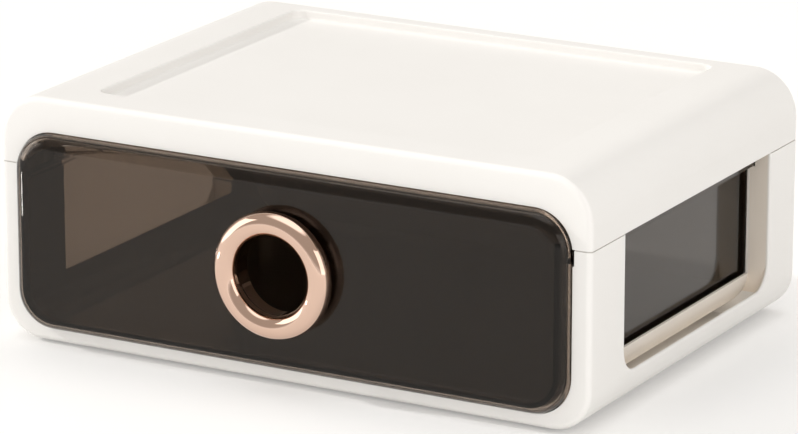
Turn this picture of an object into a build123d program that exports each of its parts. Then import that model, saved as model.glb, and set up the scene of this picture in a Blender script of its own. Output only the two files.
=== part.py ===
from build123d import *
import os

# Sizes in millimetres. X runs across, Y from the casing's front to its back, Z up from its underside.
case_width = 340.0
case_depth = 236.0
case_height = 130.0
cover_height = 36.5
top_round = 24.0
bottom_round = 21.5
front_round = 3.0
back_round = 1.0
wall = 2.5
seam = 0.6

# The deck recess in the cover, by the borders it leaves.
recess_side = 43.5
recess_front = 24.0
recess_behind = 9.5
recess_depth = 5.0
recess_round = 6.5
recess_foot = 1.5
recess_lip = 1.0

# The opening for the drawer, by the borders it leaves, and the slot at each side of it for the runner.
opening_side = 10.3
opening_under = 7.2
opening_above = 17.9
opening_round = 21.0
opening_lip = 0.3
slot_wide = 1.0
slot_high = 8.4

# The window in each side of the lower casing, open upwards to the cover, and the jambs inside its ends.
window_front = 37.3
window_behind = 31.2
window_low = 21.1
window_round = 13.0
window_edge = 1.2

# The channel, a trough whose own sharp-cornered windows end flush with the jambs.
channel_side = 11.65
channel_wall = 1.5
channel_low = 7.3
channel_drop = 8.3
channel_round = 21.0
liner_low = 27.0

# Clearances: between pieces at rest, at the sliding faces, round the drawer front, and past its side.
rest_gap = 0.3
slide_gap = 0.3
front_gap = 0.4
side_gap = 0.7

# The drawer.
plate_proud = 8.0
plate_wall = 3.0
tub_side = 5.1
tub_low = 12.0
tub_rise = 3.5
tub_behind = 14.0
tub_round = 17.0
tub_wall = 2.0
runner_thick = 2.5
runner_short = 19.0
nub_long = 5.0
nub_high = 3.6
nub_wide = 3.2
shoulder_front = 0.5
shoulder_long = 4.0

# The ring handle and the ring that locks it behind the drawer front.
ring_tube = 6.2
ring_radius = 26.8
ring_foot = 2.4
ring_foot_radius = 29.6
handle_rise = 1.0
bore = 21.8
sleeve_wall = 1.3
lock_thick = 1.6
lock_radius = 28.0
lug_reach = 1.8
lug_thick = 0.8
lug_angle = 28.0
lug_play = 4.0
lug_count = 3

# The ribs, clips and lips of the moulded pieces.
rib_thick = 1.8
ribs_between = 3
floor_ribs = 4
lip_thick = 1.4
lip_drop = 3.0
lip_side = 30.0
lip_height = 4.0
clip_thick = 1.6
clip_drop = 12.0
clip_catch = 0.9
catch_high = 3.0
catch_nose = 1.0
rear_clip_side = 98.6
rear_clip_width = 14.0
front_clip_side = 4.4
front_clip_width = 3.2

# The soft pads under the casing.
pad_radius = 8.0
pad_proud = 1.5
pad_pocket = 0.8
pad_side = 42.0
pad_inset = 28.0
pad_bevel = 0.5

# How far a tool or a joined body runs past the face it meets.
slit = 1.0

# What follows from the sizes above.
case_half = case_width / 2
parting = case_height - cover_height
recess_half = case_half - recess_side
recess_back = case_depth - recess_behind
opening_half = case_half - opening_side
opening_high = case_height - opening_above
handle_high = (opening_under + opening_high) / 2 + handle_rise
slot_half = opening_half + slot_wide
slot_low = parting - slot_high
window_back = case_depth - window_behind
channel_half = case_half - channel_side
channel_high = parting - channel_drop
channel_front = wall + 2 * rest_gap
channel_back = case_depth - wall - rest_gap
rim_back = channel_front - rest_gap
plate_back = plate_wall - plate_proud
tub_half = opening_half - tub_side
tub_high = parting + tub_rise
tub_back = case_depth - tub_behind
runner_reach = slot_half - slide_gap
runner_back = tub_back - runner_short
runner_low = channel_high + slide_gap
runner_high = runner_low + runner_thick
nub_reach = tub_half + nub_wide
leg_low = runner_high + slide_gap
leg_outer = runner_reach + slide_gap
leg_inner = nub_reach + side_gap
stop_inner = tub_half + side_gap
jamb_step = runner_reach + side_gap
sleeve = bore + sleeve_wall
sleeve_back = plate_back + lock_thick + lug_thick
handle_reach = plate_proud + 2 * ring_tube
rear_clip_x = case_half - rear_clip_side
front_clip_x = case_half - front_clip_side
lip_half = case_half - lip_side
pad_x = case_half - pad_side


def block(x0, x1, y0, y1, z0, z1):
    low_corner = (Align.MIN, Align.MIN, Align.MIN)
    return Pos(x0, y0, z0) * Box(x1 - x0, y1 - y0, z1 - z0, align=low_corner)


def rounded(a0, a1, b0, b1, low_radius, high_radius=0.0):
    # A rectangle with one radius at its two lower corners and another at its two upper ones.
    corners = [(a0, b0), (a1, b0), (a1, b1), (a0, b1)]
    face = make_face(Polyline(*corners, close=True))
    if low_radius > 0:
        face = fillet(face.vertices().group_by(Axis.Y)[0], low_radius)
    if high_radius > 0:
        face = fillet(face.vertices().group_by(Axis.Y)[-1], high_radius)
    return face


def along_y(face, y0, y1):
    return extrude(Plane.XZ.offset(-y1) * face, amount=y1 - y0)


def along_x(face, x0, x1):
    return extrude(Plane.YZ.offset(x0) * face, amount=x1 - x0)


def disc(radius, y0, y1):
    # A flat disc on the handle's axis.
    return along_y(Pos(0, handle_high) * Circle(radius), y0, y1)


def ring_between(inner, outer, y0, y1):
    return disc(outer, y0, y1) - disc(inner, y0 - slit, y1 + slit)


def both_sides(solid):
    return solid + mirror(solid, about=Plane.YZ)


def case_section(inset):
    half = case_half - inset
    return rounded(-half, half, inset, case_height - inset, bottom_round - inset, top_round - inset)


def opening_section(inset):
    half = opening_half - inset
    radius = opening_round - inset
    return rounded(-half, half, opening_under + inset, opening_high - inset, radius, radius)


def casing_shell():
    # The whole outer skin in one, before the parting line divides it.
    solid = along_y(case_section(0), 0, case_depth)
    solid = fillet(solid.faces().sort_by(Axis.Y)[0].edges(), front_round)
    solid = fillet(solid.faces().sort_by(Axis.Y)[-1].edges(), back_round)
    solid -= along_y(case_section(wall), wall, case_depth - wall)
    solid -= along_y(opening_section(0), -slit, wall + slit)
    front = solid.faces().filter_by(Axis.Y).sort_by(Axis.Y)[0]
    return fillet(front.inner_wires()[0].edges(), opening_lip)


def seam_groove():
    # The fine line all round where cover and casing meet.
    outside = Rectangle(case_width + 2 * slit, case_depth + 2 * slit)
    inside = Pos(0, case_depth / 2) * Rectangle(case_width - 2 * seam, case_depth - 2 * seam)
    corners = inside.vertices().group_by(Axis.Y)
    inside = fillet(corners[0], front_round - seam)
    inside = fillet(inside.vertices().group_by(Axis.Y)[-1], back_round - seam)
    line = Pos(0, case_depth / 2) * outside - inside
    return extrude(Plane.XY.offset(parting - seam / 2) * line, amount=seam)


def recess_plan(grow):
    wide = 2 * (recess_half + grow)
    deep = recess_back - recess_front + 2 * grow
    middle = (recess_front + recess_back) / 2
    return Pos(0, middle) * RectangleRounded(wide, deep, recess_round + grow)


def with_recess(cover):
    floor = case_height - recess_depth
    under = Plane.XY.offset(floor - wall) * recess_plan(wall)
    cover += extrude(under, amount=recess_depth)
    tool = extrude(Plane.XY.offset(floor) * recess_plan(0), amount=recess_depth + slit)
    tool = fillet(tool.faces().sort_by(Axis.Z)[0].edges(), recess_foot)
    cover -= tool
    deck = cover.faces().filter_by(Axis.Z).sort_by(Axis.Z)[-1]
    return fillet(deck.inner_wires()[0].edges(), recess_lip)


def guide_places():
    # One rib above each jamb, and the others evenly between them. The first is the drawer's stop.
    first = window_front - wall / 2
    step = (window_back - window_front + wall) / (ribs_between + 1)
    return [first + step * place for place in range(ribs_between + 2)]


def cover_rib(y, inner):
    # A gusset in the cover's side, with a leg that holds the drawer's runner down.
    gusset = rounded(stop_inner, case_half, parting, case_height, 0)
    leg = rounded(inner, leg_outer, leg_low, parting + slit, 0)
    solid = along_y(gusset, y - rib_thick / 2, y + rib_thick / 2)
    solid &= along_y(case_section(wall / 2), 0, case_depth)
    return solid + along_y(leg, y - rib_thick / 2, y + rib_thick / 2)


def rear_lip():
    face = case_depth - wall
    back = face - rest_gap
    lip = block(-lip_half, lip_half, back - lip_thick, back, parting - lip_drop, parting + lip_height)
    return lip + block(-lip_half, lip_half, back - lip_thick, face + slit, parting, parting + lip_height)


def clip(x, width, y_back, toward):
    # A springy tongue from the cover with a catch at its foot, turned to the front or to the back.
    y_front = y_back - clip_thick
    foot = parting - clip_drop
    x0 = x - width / 2
    x1 = x + width / 2
    solid = block(x0, x1, y_front, y_back, foot, parting + lip_height)
    near = y_back if toward > 0 else y_front
    far = near + toward * (clip_catch + rest_gap)
    top = foot + catch_high
    profile = Polyline((near, foot), (near, top), (far, top), (far, top - catch_nose), close=True)
    return solid + along_x(make_face(profile), x0, x1)


def catch_pocket(x, width, toward):
    # The blind pocket in the casing's end wall that a catch springs into.
    foot = parting - clip_drop
    face = case_depth - wall if toward > 0 else wall
    far = face + toward * (clip_catch + rest_gap)
    y0 = min(face - toward * slit, far)
    y1 = max(face - toward * slit, far)
    x0 = x - width / 2 - rest_gap
    x1 = x + width / 2 + rest_gap
    return block(x0, x1, y0, y1, foot, foot + catch_high + rest_gap)


def front_clips():
    y_front = wall + rest_gap
    tongue = clip(front_clip_x, front_clip_width, y_front + clip_thick, -1)
    x0 = front_clip_x - front_clip_width / 2
    x1 = front_clip_x + front_clip_width / 2
    root = block(x0, x1, wall - slit, y_front + clip_thick, parting, parting + lip_height)
    return both_sides(tongue + root)


def rear_clips():
    back = case_depth - wall - rest_gap
    tongue = clip(rear_clip_x, rear_clip_width, back, 1)
    return both_sides(tongue)


def top_cover(shell):
    cover = with_recess(split(shell, bisect_by=Plane.XY.offset(parting), keep=Keep.TOP))
    stop, *others = guide_places()
    cover += both_sides(cover_rib(stop, stop_inner))
    for y in others:
        cover += both_sides(cover_rib(y, leg_inner))
    cover += rear_lip()
    cover += front_clips()
    cover += rear_clips()
    return cover - seam_groove()


def window_section():
    return rounded(window_front, window_back, window_low, parting + slit, window_round)


def window_rims(casing):
    # The edges of both side windows, on the casing's outer and inner faces.
    def on_rim(edge):
        middle = edge.center()
        across = case_half - abs(middle.X)
        on_face = min(abs(across), abs(across - wall)) < slit / 10
        beside = window_front - slit < middle.Y < window_back + slit
        return on_face and beside and middle.Z > window_low - slit / 2
    return casing.edges().filter_by(on_rim)


def floor_rib_places():
    step = 2 * channel_half / (floor_ribs + 1)
    return [step * (place + 1) - channel_half for place in range(floor_ribs)]


def jambs():
    # The walls inside each window's ends, from the skin to the channel's flank, clear of the runner.
    section = rounded(channel_half - channel_round, case_half, 0, parting, 0)
    solid = along_y(section, window_front - wall, window_front)
    solid += along_y(section, window_back, window_back + wall)
    solid &= along_y(case_section(wall / 2), 0, case_depth)
    solid -= along_y(channel_section(0, channel_high), 0, case_depth)
    solid -= block(0, jamb_step, 0, case_depth, channel_high, case_height)
    return both_sides(solid)


def pad_places():
    near = pad_inset
    far = case_depth - pad_inset
    return {
        "foot_front_left": (-pad_x, near),
        "foot_front_right": (pad_x, near),
        "foot_rear_left": (-pad_x, far),
        "foot_rear_right": (pad_x, far),
    }


def lower_casing(shell):
    casing = split(shell, bisect_by=Plane.XY.offset(parting), keep=Keep.BOTTOM)
    casing -= both_sides(along_x(window_section(), case_half - wall - slit, case_half + slit))
    casing = fillet(window_rims(casing), window_edge)
    for x in floor_rib_places():
        near = x - rib_thick / 2
        casing += block(near, near + rib_thick, 2 * wall, case_depth - 2 * wall, wall - slit, channel_low)
    casing += jambs()
    casing -= both_sides(block(opening_half - slit, slot_half, -slit, wall + slit, slot_low, parting + slit))
    casing -= both_sides(catch_pocket(front_clip_x, front_clip_width, -1))
    casing -= both_sides(catch_pocket(rear_clip_x, rear_clip_width, 1))
    for x, y in pad_places().values():
        casing -= Pos(x, y, 0) * Cylinder(pad_radius + rest_gap, 2 * pad_pocket)
    return casing - seam_groove()


def channel_section(inset, high):
    half = channel_half - inset
    return rounded(-half, half, channel_low + inset, high, channel_round - inset)


def drawer_channel():
    channel = along_y(channel_section(0, channel_high), channel_front, channel_back)
    channel -= along_y(channel_section(channel_wall, case_height), 0, case_depth)
    inner = channel_half - 2 * channel_wall
    hole = block(inner, channel_half + slit, window_front, window_back, liner_low, case_height)
    return channel - both_sides(hole)


def tub_block(inset):
    half = tub_half - inset
    solid = block(-half, half, inset - plate_proud, tub_back - inset, tub_low + inset, tub_high)
    upright = solid.edges().filter_by(Axis.Z).group_by(Axis.Y)[-1]
    under = solid.faces().sort_by(Axis.Z)[0].edges()
    kept = under.filter_by(Axis.Y) + under.filter_by(Axis.X).sort_by(Axis.Y)[-1:]
    return fillet(upright + kept, tub_round - inset)


def drawer_front():
    # A cushion-shaped plate: its edge turns back through a quarter round into a rim in the opening.
    outside = along_y(opening_section(front_gap), -plate_proud, rim_back)
    outside = fillet(outside.faces().sort_by(Axis.Y)[0].edges(), plate_proud)
    inside = along_y(opening_section(front_gap + plate_wall), plate_back, rim_back + slit)
    inside = fillet(inside.faces().sort_by(Axis.Y)[0].edges(), plate_proud - plate_wall)
    return outside - inside


def shoulder():
    # The raised start of a runner, on the rim of the front, that fills the slot when the drawer is shut.
    inner = opening_half - front_gap - plate_wall / 2
    back = shoulder_front + shoulder_long
    return block(inner, runner_reach, shoulder_front, back, runner_low, parting - slide_gap)


def drawer():
    # Front, tub and runners are one moulding.
    tub = tub_block(0) & block(-case_half, case_half, plate_back - slit, case_depth, 0, case_height)
    hollow = tub_block(tub_wall) & block(-case_half, case_half, plate_back, case_depth, 0, case_height)
    runner = block(tub_half - slit, runner_reach, channel_front, runner_back, runner_low, runner_high)
    nub_front = runner_back - nub_long
    nub = block(tub_half - slit, nub_reach, nub_front, runner_back, runner_high, runner_high + nub_high)
    solid = drawer_front() + tub + both_sides(runner + nub + shoulder()) - hollow
    return solid - disc(sleeve + rest_gap, -plate_proud - slit, plate_back + slit)


def lug(angle, outer, y0, y1, spread):
    # A part of an annulus round the handle's axis, from inside the sleeve's wall outward.
    reach = 2 * outer
    wedge = make_face(Polyline((0, 0), (reach, -reach), (reach, reach), close=True))
    sector = wedge & (Rot(0, 0, spread / 2 - 45) * wedge) & (Rot(0, 0, 45 - spread / 2) * wedge)
    part = (Circle(outer) - Circle(sleeve - sleeve_wall / 2)) & (Rot(0, 0, angle) * sector)
    return along_y(Pos(0, handle_high) * part, y0, y1)


def handle_ring():
    centre = -plate_proud - ring_tube
    turned = Plane(origin=(0, centre, handle_high), x_dir=(1, 0, 0), z_dir=(0, -1, 0))
    ring = turned * Torus(ring_radius, ring_tube)
    ring += ring_between(bore, ring_foot_radius, -plate_proud - ring_foot, -plate_proud)
    ring += ring_between(bore, sleeve, centre, sleeve_back)
    for turn in range(lug_count):
        angle = 90 + turn * 360 / lug_count
        ring += lug(angle, sleeve + lug_reach, sleeve_back - lug_thick, sleeve_back, lug_angle)
    return ring


def handle_lock_ring():
    back = plate_back + lock_thick
    ring = ring_between(sleeve + rest_gap, lock_radius, plate_back, back)
    slot_outer = sleeve + lug_reach + rest_gap
    for turn in range(lug_count):
        angle = 90 + (turn + 0.5) * 360 / lug_count
        ring -= lug(angle, slot_outer, plate_back - slit, back + slit, lug_angle + lug_play)
    return ring


def pad(x, y):
    face = Plane.XY.offset(-pad_proud) * Pos(x, y) * Circle(pad_radius)
    solid = extrude(face, amount=pad_proud + pad_pocket)
    return chamfer(solid.faces().sort_by(Axis.Z)[0].edges(), pad_bevel)


def save(name, solid):
    # The finished frame: X and Y centred on the whole box, Z up from where the pads stand.
    placed = Pos(0, -(case_depth - handle_reach) / 2, pad_proud) * solid
    export_step(placed, os.path.join("parts", name + ".step"))
    print(name, round(placed.volume), placed.bounding_box())


os.makedirs("parts", exist_ok=True)
skin = casing_shell()
save("top_cover", top_cover(skin))
save("lower_casing", lower_casing(skin))
save("drawer_channel", drawer_channel())
save("drawer", drawer())
save("handle_ring", handle_ring())
save("handle_lock_ring", handle_lock_ring())
for foot, (pad_at_x, pad_at_y) in pad_places().items():
    save(foot, pad(pad_at_x, pad_at_y))
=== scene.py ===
import bpy
import math
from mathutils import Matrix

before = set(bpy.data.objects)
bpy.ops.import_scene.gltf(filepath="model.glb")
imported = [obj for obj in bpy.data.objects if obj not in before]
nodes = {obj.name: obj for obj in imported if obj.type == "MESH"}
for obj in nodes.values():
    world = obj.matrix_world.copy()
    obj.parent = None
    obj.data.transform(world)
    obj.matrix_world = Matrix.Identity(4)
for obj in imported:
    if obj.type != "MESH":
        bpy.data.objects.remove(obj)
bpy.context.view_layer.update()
print("stage: model loaded")


# Materials. Patterns are on Object coordinates, in metres.
plasticIor = 1.49
# Nearly all values of a noise pattern lie between these two.
noiseRange = (0.3, 0.7)


def newMaterial(name):
    material = bpy.data.materials.new(name)
    material.use_nodes = True
    tree = material.node_tree
    return material, tree, tree.nodes["Principled BSDF"]


def ownPlace(tree):
    return tree.nodes.new("ShaderNodeTexCoord").outputs["Object"]


def axesOf(tree, vector):
    parts = tree.nodes.new("ShaderNodeSeparateXYZ")
    tree.links.new(vector, parts.inputs["Vector"])
    return parts.outputs


def mathStep(tree, operation, first, second, third=None):
    # The second value is a number or another node's output.
    node = tree.nodes.new("ShaderNodeMath")
    node.operation = operation
    tree.links.new(first, node.inputs[0])
    if isinstance(second, float):
        node.inputs[1].default_value = second
    else:
        tree.links.new(second, node.inputs[1])
    if third is not None:
        node.inputs[2].default_value = third
    return node.outputs["Value"]


def vectorStep(tree, operation, first, second=None):
    node = tree.nodes.new("ShaderNodeVectorMath")
    node.operation = operation
    tree.links.new(first, node.inputs[0])
    if second:
        node.inputs[1].default_value = second
    return node.outputs["Vector"]


def mapRange(tree, value, before, after, interpolation="LINEAR"):
    node = tree.nodes.new("ShaderNodeMapRange")
    node.interpolation_type = interpolation
    ends = ("From Min", "From Max", "To Min", "To Max")
    for end, number in zip(ends, (*before, *after)):
        node.inputs[end].default_value = number
    tree.links.new(value, node.inputs["Value"])
    return node.outputs["Result"]


def mixColour(tree, factor, colour, other, blend="MIX"):
    mix = tree.nodes.new("ShaderNodeMix")
    mix.data_type = "RGBA"
    mix.blend_type = blend
    mix.inputs["B"].default_value = (*other, 1)
    tree.links.new(factor, mix.inputs["Factor"])
    tree.links.new(colour, mix.inputs["A"])
    return mix.outputs["Result"]


def noiseOn(tree, scale, detail=2.0, stretch=None):
    noise = tree.nodes.new("ShaderNodeTexNoise")
    noise.inputs["Scale"].default_value = scale
    noise.inputs["Detail"].default_value = detail
    source = ownPlace(tree)
    if stretch:
        mapping = tree.nodes.new("ShaderNodeMapping")
        mapping.inputs["Scale"].default_value = stretch
        tree.links.new(source, mapping.inputs["Vector"])
        source = mapping.outputs["Vector"]
    tree.links.new(source, noise.inputs["Vector"])
    return noise.outputs["Fac"]


def blendColours(tree, value, look):
    ramp = tree.nodes.new("ShaderNodeValToRGB")
    ends = (look["colour"], look["colourFar"])
    for element, position, colour in zip(ramp.color_ramp.elements, noiseRange, ends):
        element.position = position
        element.color = (*colour, 1)
    tree.links.new(value, ramp.inputs["Fac"])
    return ramp.outputs["Color"]


def varyRoughness(tree, shader, look, detail=2.0):
    sheen = noiseOn(tree, look["sheenScale"], detail)
    roughness = mapRange(tree, sheen, noiseRange, look["roughness"])
    tree.links.new(roughness, shader.inputs["Roughness"])


def addBump(tree, height, shader, strength, distance):
    bump = tree.nodes.new("ShaderNodeBump")
    bump.inputs["Strength"].default_value = strength
    bump.inputs["Distance"].default_value = distance
    tree.links.new(height, bump.inputs["Height"])
    tree.links.new(bump.outputs["Normal"], shader.inputs["Normal"])


def paintGrooveShade(tree, colour, paintedGrooveShade):
    # Painted shade: darkens the fine groove where two mouldings meet, a thin band of heights,
    # where shade falls between the parts.
    height = axesOf(tree, ownPlace(tree))["Z"]
    shadeMask = mathStep(tree, "COMPARE", height, paintedGrooveShade["height"], paintedGrooveShade["half"])
    return mixColour(tree, shadeMask, colour, paintedGrooveShade["shade"])


def paintWarmInnerShade(tree, colour, inner):
    # Painted warm shade: faces behind the skin are tinted warmer and a little darker, standing
    # in for the warm light bounced within the casing. The tint fades out close to the sides of
    # a box that is given by its middle and its half sizes.
    away = vectorStep(tree, "SUBTRACT", ownPlace(tree), inner["middle"])
    shares = vectorStep(tree, "DIVIDE", vectorStep(tree, "ABSOLUTE", away), inner["half"])
    share = axesOf(tree, shares)
    largest = mathStep(tree, "MAXIMUM", share["X"], share["Y"])
    largest = mathStep(tree, "MAXIMUM", largest, share["Z"])
    shadeMask = mapRange(tree, largest, (inner["fadeFrom"], 1.0), (1.0, 0.0), "SMOOTHSTEP")
    return mixColour(tree, shadeMask, colour, inner["tint"], "MULTIPLY")


def mouldedPlastic(name, look):
    # Satin plastic: a faint cloudiness in the colour, a fine spark-eroded grain, and a sheen
    # that varies a little.
    material, tree, shader = newMaterial(name)
    colour = blendColours(tree, noiseOn(tree, look["cloudScale"]), look)
    # Painted warm shade on the faces behind the skin.
    if "inner" in look:
        colour = paintWarmInnerShade(tree, colour, look["inner"])
    # Painted shade in the parting groove between the cover and the casing.
    if "paintedGrooveShade" in look:
        colour = paintGrooveShade(tree, colour, look["paintedGrooveShade"])
    tree.links.new(colour, shader.inputs["Base Color"])
    varyRoughness(tree, shader, look)
    shader.inputs["IOR"].default_value = plasticIor
    shader.inputs["Specular IOR Level"].default_value = look["specular"]
    grain = noiseOn(tree, look["grainScale"], 3.0)
    addBump(tree, grain, shader, look["grain"], look["grainDepth"])
    return material


def smokyPlastic(name, look):
    # See-through plastic: its tint is taken up along the way through it, and its skin is
    # polished, with a trace of flow marks.
    material, tree, shader = newMaterial(name)
    tint = tree.nodes.new("ShaderNodeVolumeAbsorption")
    tint.inputs["Color"].default_value = (*look["tint"], 1)
    tint.inputs["Density"].default_value = look["density"]
    tree.links.new(tint.outputs["Volume"], tree.nodes["Material Output"].inputs["Volume"])
    flow = noiseOn(tree, look["flowScale"], stretch=look["flowStretch"])
    tree.links.new(blendColours(tree, flow, look), shader.inputs["Base Color"])
    varyRoughness(tree, shader, look)
    shader.inputs["IOR"].default_value = plasticIor
    shader.inputs["Transmission Weight"].default_value = 1.0
    shader.inputs["Specular Tint"].default_value = (*look["gloss"], 1)
    addBump(tree, flow, shader, look["flow"], look["flowDepth"])
    return material


def polishedMetal(name, look):
    # Plated metal: bright, with faint polishing marks and a slight unevenness.
    material, tree, shader = newMaterial(name)
    cloud = noiseOn(tree, look["cloudScale"])
    tree.links.new(blendColours(tree, cloud, look), shader.inputs["Base Color"])
    varyRoughness(tree, shader, look, 3.0)
    shader.inputs["Metallic"].default_value = 1.0
    addBump(tree, noiseOn(tree, look["markScale"]), shader, look["mark"], look["markDepth"])
    return material


whiteShell = {
    "colour": (0.872, 0.860, 0.836), "colourFar": (0.884, 0.873, 0.850), "cloudScale": 14,
    "sheenScale": 60, "roughness": (0.42, 0.5), "specular": 0.4,
    "grainScale": 2600, "grain": 0.12, "grainDepth": 0.00004,
    # Painted shade: a darker band at the parting groove, where shade falls between the cover
    # and the casing.
    "paintedGrooveShade": {"height": 0.095, "half": 0.00032, "shade": (0.70, 0.68, 0.65)},
    # Painted warm shade: faces behind the skin are tinted warmer, for the warm light bounced
    # within the casing.
    "inner": {
        "middle": (0, -0.0030, 0.05635), "half": (0.1694, 0.1030, 0.03815),
        "fadeFrom": 0.99, "tint": (1.0, 0.920, 0.830),
    },
}
# Painted warm shade: the channel is the same white plastic, its colour tinted warmer than the
# shell's for the warm light bounced within the casing.
whiteChannel = {
    "colour": (0.875, 0.826, 0.760), "colourFar": (0.885, 0.840, 0.778), "cloudScale": 18,
    "sheenScale": 70, "roughness": (0.46, 0.55), "specular": 0.4,
    "grainScale": 2200, "grain": 0.12, "grainDepth": 0.00004,
}
smokyDrawer = {
    "tint": (0.48, 0.38, 0.29), "density": 90, "gloss": (0.64, 0.60, 0.56),
    "colour": (0.36, 0.308, 0.264), "colourFar": (0.38, 0.326, 0.28),
    "sheenScale": 40, "roughness": (0.015, 0.03),
    "flowScale": 9, "flowStretch": (1, 1, 0.35), "flow": 0.03, "flowDepth": 0.0006,
}
roseMetal = {
    "colour": (0.69, 0.488, 0.385), "colourFar": (0.71, 0.508, 0.405), "cloudScale": 40,
    "sheenScale": 160, "roughness": (0.05, 0.08),
    "markScale": 900, "mark": 0.03, "markDepth": 0.00002,
}
lockPlastic = {
    "colour": (0.045, 0.038, 0.034), "colourFar": (0.055, 0.047, 0.042), "cloudScale": 60,
    "sheenScale": 120, "roughness": (0.25, 0.35), "specular": 0.5,
    "grainScale": 1800, "grain": 0.1, "grainDepth": 0.00003,
}
padRubber = {
    "colour": (0.42, 0.41, 0.395), "colourFar": (0.46, 0.45, 0.43), "cloudScale": 150,
    "sheenScale": 300, "roughness": (0.75, 0.9), "specular": 0.3,
    "grainScale": 3200, "grain": 0.3, "grainDepth": 0.00008,
}

finishes = {
    "top_cover": mouldedPlastic("satinWhiteCover", whiteShell),
    "lower_casing": mouldedPlastic("satinWhiteCasing", whiteShell),
    "drawer_channel": mouldedPlastic("satinWhiteChannel", whiteChannel),
    "drawer": smokyPlastic("smokyClearPlastic", smokyDrawer),
    "handle_ring": polishedMetal("roseGoldPlate", roseMetal),
    "handle_lock_ring": mouldedPlastic("darkLockPlastic", lockPlastic),
}
padFinish = mouldedPlastic("softPadRubber", padRubber)
for nodeName, node in nodes.items():
    node.data.materials.clear()
    node.data.materials.append(finishes.get(nodeName, padFinish))
print("stage: finishes on the CAD pieces")


# The floor.
studioFloor = {
    "size": 14.0, "colour": (0.80, 0.795, 0.785), "colourFar": (0.82, 0.815, 0.805),
    "cloudScale": 3, "roughness": 0.8, "specular": 0.2, "glow": 0.20,
}


def atBackground(tree):
    # 1 for a ray that shows the background: from the camera, mirrored or through clear plastic.
    paths = tree.nodes.new("ShaderNodeLightPath").outputs
    seen = mathStep(tree, "MAXIMUM", paths["Is Camera Ray"], paths["Is Transmission Ray"])
    return mathStep(tree, "MAXIMUM", seen, paths["Is Glossy Ray"])


def floorMaterial(look):
    material, tree, shader = newMaterial("paleFloor")
    shader.inputs["Roughness"].default_value = look["roughness"]
    shader.inputs["Specular IOR Level"].default_value = look["specular"]
    cloud = noiseOn(tree, look["cloudScale"])
    tree.links.new(blendColours(tree, cloud, look), shader.inputs["Base Color"])
    glow = tree.nodes.new("ShaderNodeEmission")
    glow.inputs["Color"].default_value = (1, 1, 1, 1)
    strength = mathStep(tree, "MULTIPLY", atBackground(tree), look["glow"])
    tree.links.new(strength, glow.inputs["Strength"])
    both = tree.nodes.new("ShaderNodeAddShader")
    tree.links.new(shader.outputs["BSDF"], both.inputs[0])
    tree.links.new(glow.outputs["Emission"], both.inputs[1])
    tree.links.new(both.outputs["Shader"], tree.nodes["Material Output"].inputs["Surface"])
    return material


def addFloor():
    half = studioFloor["size"] / 2
    mesh = bpy.data.meshes.new("floor")
    corners = [(-half, -half, 0), (half, -half, 0), (half, half, 0), (-half, half, 0)]
    mesh.from_pydata(corners, [], [(0, 1, 2, 3)])
    mesh.materials.append(floorMaterial(studioFloor))
    floor = bpy.data.objects.new("floor", mesh)
    bpy.context.scene.collection.objects.link(floor)


# The lamps.
keySun = {
    "strength": 1.4, "elevation": 28, "fromLeftToFront": 14, "spread": 2.5,
    "colour": (1.0, 0.985, 0.96),
}
# Each panel is turned to the object's middle. Its glow is its own brightness, where 1 is white.
# It lights the object, or is only mirrored in what is polished, or both.
panels = {
    "frontFill": {
        "place": (0.5, -3.0, 0.75), "size": (3.2, 1.4), "glow": 1.80,
        "lights": True, "mirrored": False,
    },
    "leftPanel": {
        "place": (-2.35, -0.86, 0.82), "size": (1.9, 1.6), "glow": 1.70,
        "lights": False, "mirrored": True,
    },
    "rightPanel": {
        "place": (2.45, -0.52, 0.82), "size": (1.9, 1.6), "glow": 1.30,
        "lights": True, "mirrored": True,
    },
}
middleHeight = 0.07
# A weak strip lamp in the hollow between skin and channel, under each window's sill. It leans
# inward as it shines down.
hollowFill = {
    "side": 0.1600, "middle": 0.0132, "height": 0.0125, "size": (0.006, 0.160),
    "lean": 32, "glow": 1.4, "colour": (1.0, 0.88, 0.77),
}
# A bright strip lying at the left, seen only in polished surfaces, where it draws a thin line
# on the rounded edge.
edgeGlint = {
    "place": (-0.379, -0.278, 0.004), "size": (0.105, 0.040), "turn": 36.9, "glow": 26,
}


def addKeySun():
    # A sun shines along its own -Z: it is tipped from the vertical, then turned.
    light = bpy.data.lights.new("keyLight", "SUN")
    light.energy = keySun["strength"]
    light.angle = math.radians(keySun["spread"])
    light.color = keySun["colour"]
    lamp = bpy.data.objects.new("keyLight", light)
    tip = math.radians(-(90 - keySun["elevation"]))
    lamp.rotation_euler = (0, tip, math.radians(keySun["fromLeftToFront"]))
    lamp.visible_glossy = False
    bpy.context.scene.collection.objects.link(lamp)


def panelLamp(name, size, glow):
    light = bpy.data.lights.new(name, "AREA")
    light.shape = "RECTANGLE"
    light.size, light.size_y = size
    light.energy = glow * math.pi * size[0] * size[1]
    lamp = bpy.data.objects.new(name, light)
    lamp.visible_camera = False
    bpy.context.scene.collection.objects.link(lamp)
    return lamp


def addPanels():
    for name, look in panels.items():
        lamp = panelLamp(name, look["size"], look["glow"])
        x, y, z = look["place"]
        tip = math.atan2(math.hypot(x, y), z - middleHeight)
        lamp.location = look["place"]
        lamp.rotation_euler = (tip, 0, math.atan2(x, -y))
        lamp.visible_diffuse = look["lights"]
        lamp.visible_glossy = look["mirrored"]


def addHollowFill():
    look = hollowFill
    for side, name in ((1, "hollowFillRight"), (-1, "hollowFillLeft")):
        lamp = panelLamp(name, look["size"], look["glow"])
        lamp.data.color = look["colour"]
        lamp.location = (side * look["side"], look["middle"], look["height"])
        lamp.rotation_euler = (0, side * math.radians(look["lean"]), 0)
        lamp.visible_glossy = False
        lamp.visible_transmission = False


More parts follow.
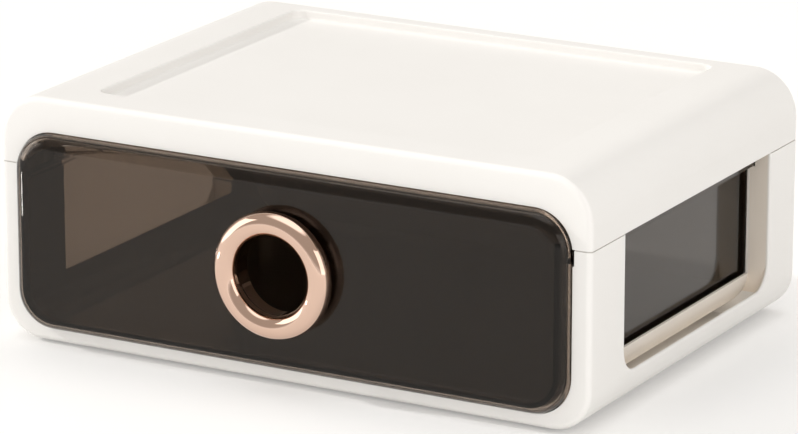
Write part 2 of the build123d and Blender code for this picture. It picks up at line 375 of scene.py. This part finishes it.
def addEdgeGlint():
    lamp = panelLamp("edgeGlint", edgeGlint["size"], edgeGlint["glow"])
    lamp.location = edgeGlint["place"]
    lamp.rotation_euler = (math.pi, 0, math.radians(edgeGlint["turn"]))
    lamp.visible_diffuse = False


# How bright the room is from the horizon, at 0, to straight overhead, at 1: a pale wall, a
# dimmer room and a soft ceiling. Each level has its own tint, warm where it is dim.
roomLevels = [
    {"height": 0.0, "level": 0.95, "tint": (1.0, 1.0, 1.0)},
    {"height": 0.14, "level": 0.53, "tint": (1.0, 0.94, 0.88)},
    {"height": 0.84, "level": 0.53, "tint": (1.0, 0.94, 0.88)},
    {"height": 0.93, "level": 1.80, "tint": (1.0, 1.0, 1.0)},
]


def addRoom():
    world = bpy.data.worlds.new("studio")
    bpy.context.scene.world = world
    world.use_nodes = True
    tree = world.node_tree
    back = tree.nodes["Background"]
    coords = tree.nodes.new("ShaderNodeTexCoord")
    ramp = tree.nodes.new("ShaderNodeValToRGB")
    brightest = max(look["level"] for look in roomLevels)
    elements = ramp.color_ramp.elements
    while len(elements) < len(roomLevels):
        elements.new(1.0)
    for element, look in zip(elements, roomLevels):
        element.position = look["height"]
        element.color = (*(part * look["level"] / brightest for part in look["tint"]), 1)
    tree.links.new(axesOf(tree, coords.outputs["Generated"])["Z"], ramp.inputs["Fac"])
    tree.links.new(ramp.outputs["Color"], back.inputs["Color"])
    back.inputs["Strength"].default_value = brightest


addFloor()
addKeySun()
addPanels()
addHollowFill()
addEdgeGlint()
addRoom()
bpy.context.scene.view_settings.view_transform = "Standard"
print("stage: floor and light")


# The camera, at the photograph's angle.
lens = {
    "place": (1.14355, -2.04173, 0.74858), "pitch": 16.37, "turn": 29.17,
    "focal": 212.15, "sensor": 36.0, "reach": 50,
}
cameraData = bpy.data.cameras.new("camera")
cameraData.sensor_fit = "HORIZONTAL"
cameraData.sensor_width = lens["sensor"]
cameraData.lens = lens["focal"]
cameraData.clip_end = lens["reach"]
camera = bpy.data.objects.new("camera", cameraData)
camera.location = lens["place"]
camera.rotation_euler = (math.radians(90 - lens["pitch"]), 0, math.radians(lens["turn"]))
bpy.context.scene.collection.objects.link(camera)
bpy.context.scene.camera = camera
print("stage: camera")
